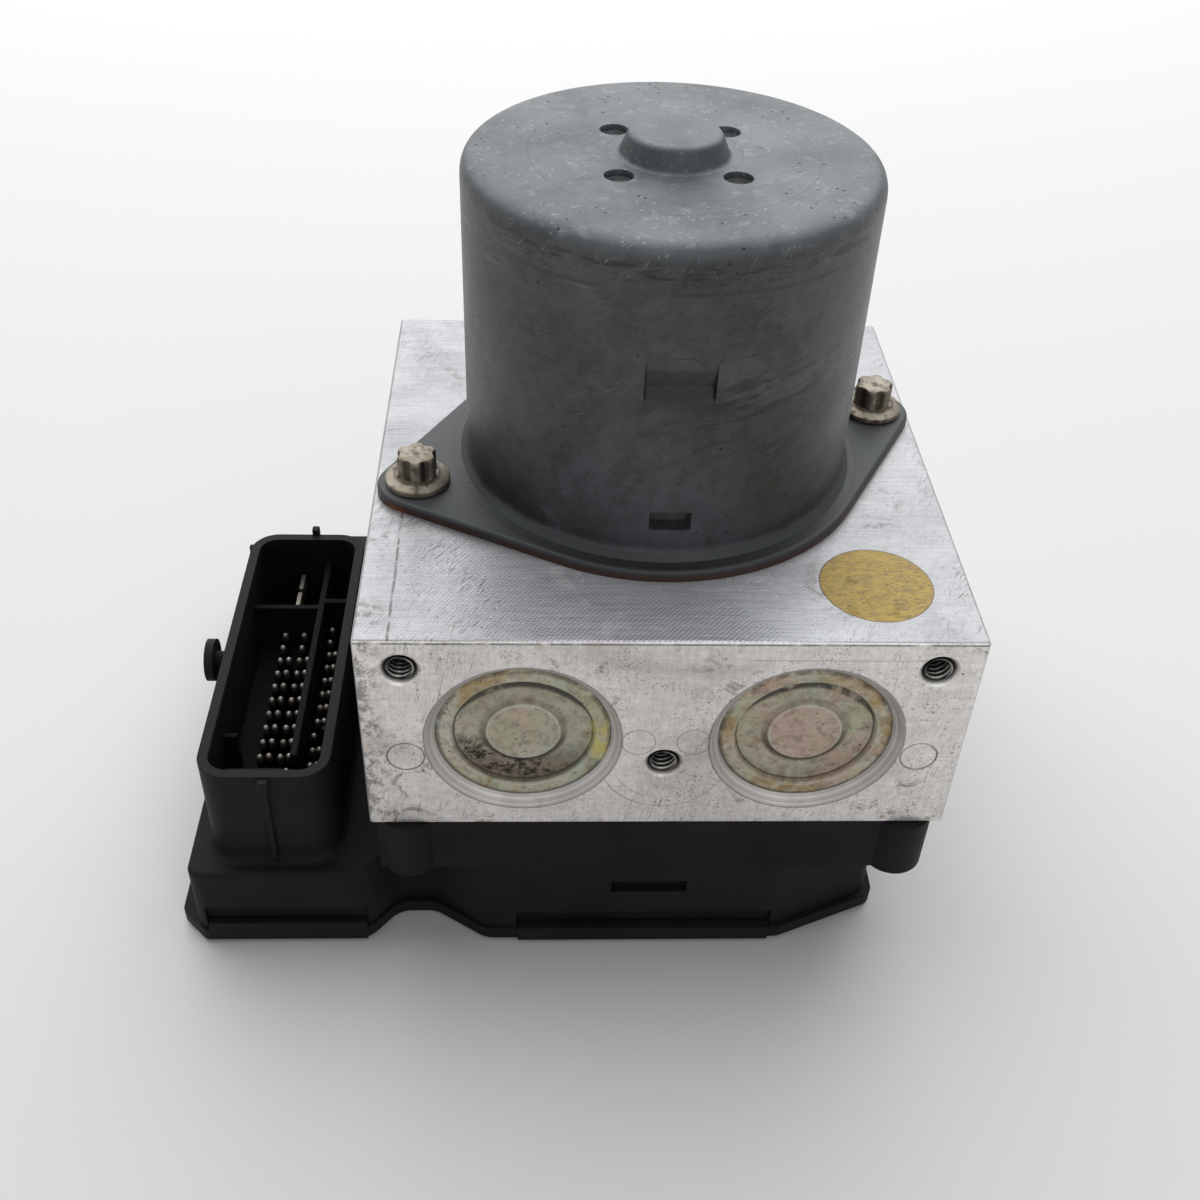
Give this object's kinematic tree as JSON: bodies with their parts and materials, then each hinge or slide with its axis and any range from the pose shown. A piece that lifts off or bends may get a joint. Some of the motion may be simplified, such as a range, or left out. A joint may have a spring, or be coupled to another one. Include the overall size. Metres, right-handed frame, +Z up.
{
  "type": "abs brake module",
  "caption": "Brake pressure control unit: drawn pump motor on a milled valve block, black control housing with a lever-plug socket below.",
  "frame": {"origin": "on the flat underside of the control unit's cover, below the centre of the hydraulic block", "axes": "+Z up the motor; -Y out of the face with the two accumulator caps and the bracket threads; -X towards the plug socket; the brake line ports open to +Y"},
  "size_m": [0.1415, 0.108, 0.1394],
  "materials": {
    "block_metal": "milled, unpainted",
    "can_coating": "thin grey zinc-flake coat on drawn steel",
    "cap_chromate": "yellow-green chromate on turned steel",
    "bolt_steel": "pale plated steel",
    "plug_steel": "plain plated steel",
    "black_plastic": "glass-filled nylon, satin",
    "pin_metal": "tinned brass",
    "steel": "ground steel",
    "copper": "enamelled copper",
    "ferrite": "sintered ferrite",
    "carbon": "pressed carbon",
    "inner_plastic": "moulded phenolic",
    "board_laminate": "glass laminate with solder mask",
    "coil_moulding": "overmoulded winding",
    "seal_rubber": "soft seal"
  },
  "bodies": {
    "unit": {"hydraulic_block": "block_metal", "motor_housing": "can_coating", "brush_plate": "inner_plastic", "magnets": "ferrite", "top_bearing": "steel", "bearing_retainer": "steel", "main_bearing": "steel", "tail_bearing": "steel", "brushes": "carbon", "contact_rod": "inner_plastic", "motor_bolts": "bolt_steel", "accumulator_cap_left": "cap_chromate", "accumulator_cap_right": "cap_chromate", "accumulator_spring_left": "steel", "accumulator_spring_right": "steel", "pump_spring_left": "steel", "pump_spring_right": "steel", "pump_plug_left": "plug_steel", "pump_plug_right": "plug_steel", "ball_plugs": "plug_steel", "ecu_housing": "black_plastic", "ecu_cover": "black_plastic", "circuit_board": "board_laminate", "signal_pins": "pin_metal", "power_blades": "pin_metal", "ecu_seal": "seal_rubber", "ecu_screws": "plug_steel", "inlet_valve_1": "steel", "inlet_coil_1": "coil_moulding", "inlet_valve_2": "steel", "inlet_coil_2": "coil_moulding", "inlet_valve_3": "steel", "inlet_coil_3": "coil_moulding", "inlet_valve_4": "steel", "inlet_coil_4": "coil_moulding", "outlet_valve_1": "steel", "outlet_coil_1": "coil_moulding", "outlet_valve_2": "steel", "outlet_coil_2": "coil_moulding", "outlet_valve_3": "steel", "outlet_coil_3": "coil_moulding", "outlet_valve_4": "steel", "outlet_coil_4": "coil_moulding"},
    "rotor": {"rotor_shaft": "steel", "rotor_core": "steel", "rotor_winding": "copper", "commutator": "copper"},
    "ring": {"eccentric_ring": "steel"},
    "pump_left": {"pump_piston_left": "steel"},
    "reservoir_left": {"accumulator_piston_left": "block_metal"},
    "pump_right": {"pump_piston_right": "steel"},
    "reservoir_right": {"accumulator_piston_right": "block_metal"},
    "inlet_needle_1": {"inlet_plunger_1": "steel"},
    "inlet_needle_2": {"inlet_plunger_2": "steel"},
    "inlet_needle_3": {"inlet_plunger_3": "steel"},
    "inlet_needle_4": {"inlet_plunger_4": "steel"},
    "outlet_needle_1": {"outlet_plunger_1": "steel"},
    "outlet_needle_2": {"outlet_plunger_2": "steel"},
    "outlet_needle_3": {"outlet_plunger_3": "steel"},
    "outlet_needle_4": {"outlet_plunger_4": "steel"}
  },
  "joints": [
    {"name": "rotor_spin", "type": "hinge", "parent": "unit", "child": "rotor", "pos_m": [0, 0.0019, 0.1], "axis": [0, 0, 1], "continuous": true},
    {"name": "ring_spin", "type": "hinge", "parent": "rotor", "child": "ring", "pos_m": [0.0009, 0.0019, 0.056], "axis": [0, 0, 1], "continuous": true},
    {"name": "pump_stroke_left", "type": "slide", "parent": "unit", "child": "pump_left", "axis": [-1, 0, 0], "range_m": [0, 0.0018], "stiffness_N_per_m": 2000, "springref_m": -0.004, "deforming": ["pump_spring_left"]},
    {"name": "reservoir_stroke_left", "type": "slide", "parent": "unit", "child": "reservoir_left", "axis": [0, -1, 0], "range_m": [0, 0.01], "stiffness_N_per_m": 1500, "springref_m": -0.008, "deforming": ["accumulator_spring_left"]},
    {"name": "pump_stroke_right", "type": "slide", "parent": "unit", "child": "pump_right", "axis": [1, 0, 0], "range_m": [0, 0.0018], "stiffness_N_per_m": 2000, "springref_m": -0.004, "deforming": ["pump_spring_right"]},
    {"name": "reservoir_stroke_right", "type": "slide", "parent": "unit", "child": "reservoir_right", "axis": [0, -1, 0], "range_m": [0, 0.01], "stiffness_N_per_m": 1500, "springref_m": -0.008, "deforming": ["accumulator_spring_right"]},
    {"name": "inlet_stroke_1", "type": "slide", "parent": "unit", "child": "inlet_needle_1", "axis": [0, 0, 1], "range_m": [0, 0.00035], "stiffness_N_per_m": 100, "springref_m": -0.002},
    {"name": "inlet_stroke_2", "type": "slide", "parent": "unit", "child": "inlet_needle_2", "axis": [0, 0, 1], "range_m": [0, 0.00035], "stiffness_N_per_m": 100, "springref_m": -0.002},
    {"name": "inlet_stroke_3", "type": "slide", "parent": "unit", "child": "inlet_needle_3", "axis": [0, 0, 1], "range_m": [0, 0.00035], "stiffness_N_per_m": 100, "springref_m": -0.002},
    {"name": "inlet_stroke_4", "type": "slide", "parent": "unit", "child": "inlet_needle_4", "axis": [0, 0, 1], "range_m": [0, 0.00035], "stiffness_N_per_m": 100, "springref_m": -0.002},
    {"name": "outlet_stroke_1", "type": "slide", "parent": "unit", "child": "outlet_needle_1", "axis": [0, 0, -1], "range_m": [0, 0.00035], "stiffness_N_per_m": 100, "springref_m": -0.002},
    {"name": "outlet_stroke_2", "type": "slide", "parent": "unit", "child": "outlet_needle_2", "axis": [0, 0, -1], "range_m": [0, 0.00035], "stiffness_N_per_m": 100, "springref_m": -0.002},
    {"name": "outlet_stroke_3", "type": "slide", "parent": "unit", "child": "outlet_needle_3", "axis": [0, 0, -1], "range_m": [0, 0.00035], "stiffness_N_per_m": 100, "springref_m": -0.002},
    {"name": "outlet_stroke_4", "type": "slide", "parent": "unit", "child": "outlet_needle_4", "axis": [0, 0, -1], "range_m": [0, 0.00035], "stiffness_N_per_m": 100, "springref_m": -0.002}
  ],
  "couplings": [
    {"joint": "ring_spin", "follows": "rotor_spin", "ratio": -1}
  ]
}
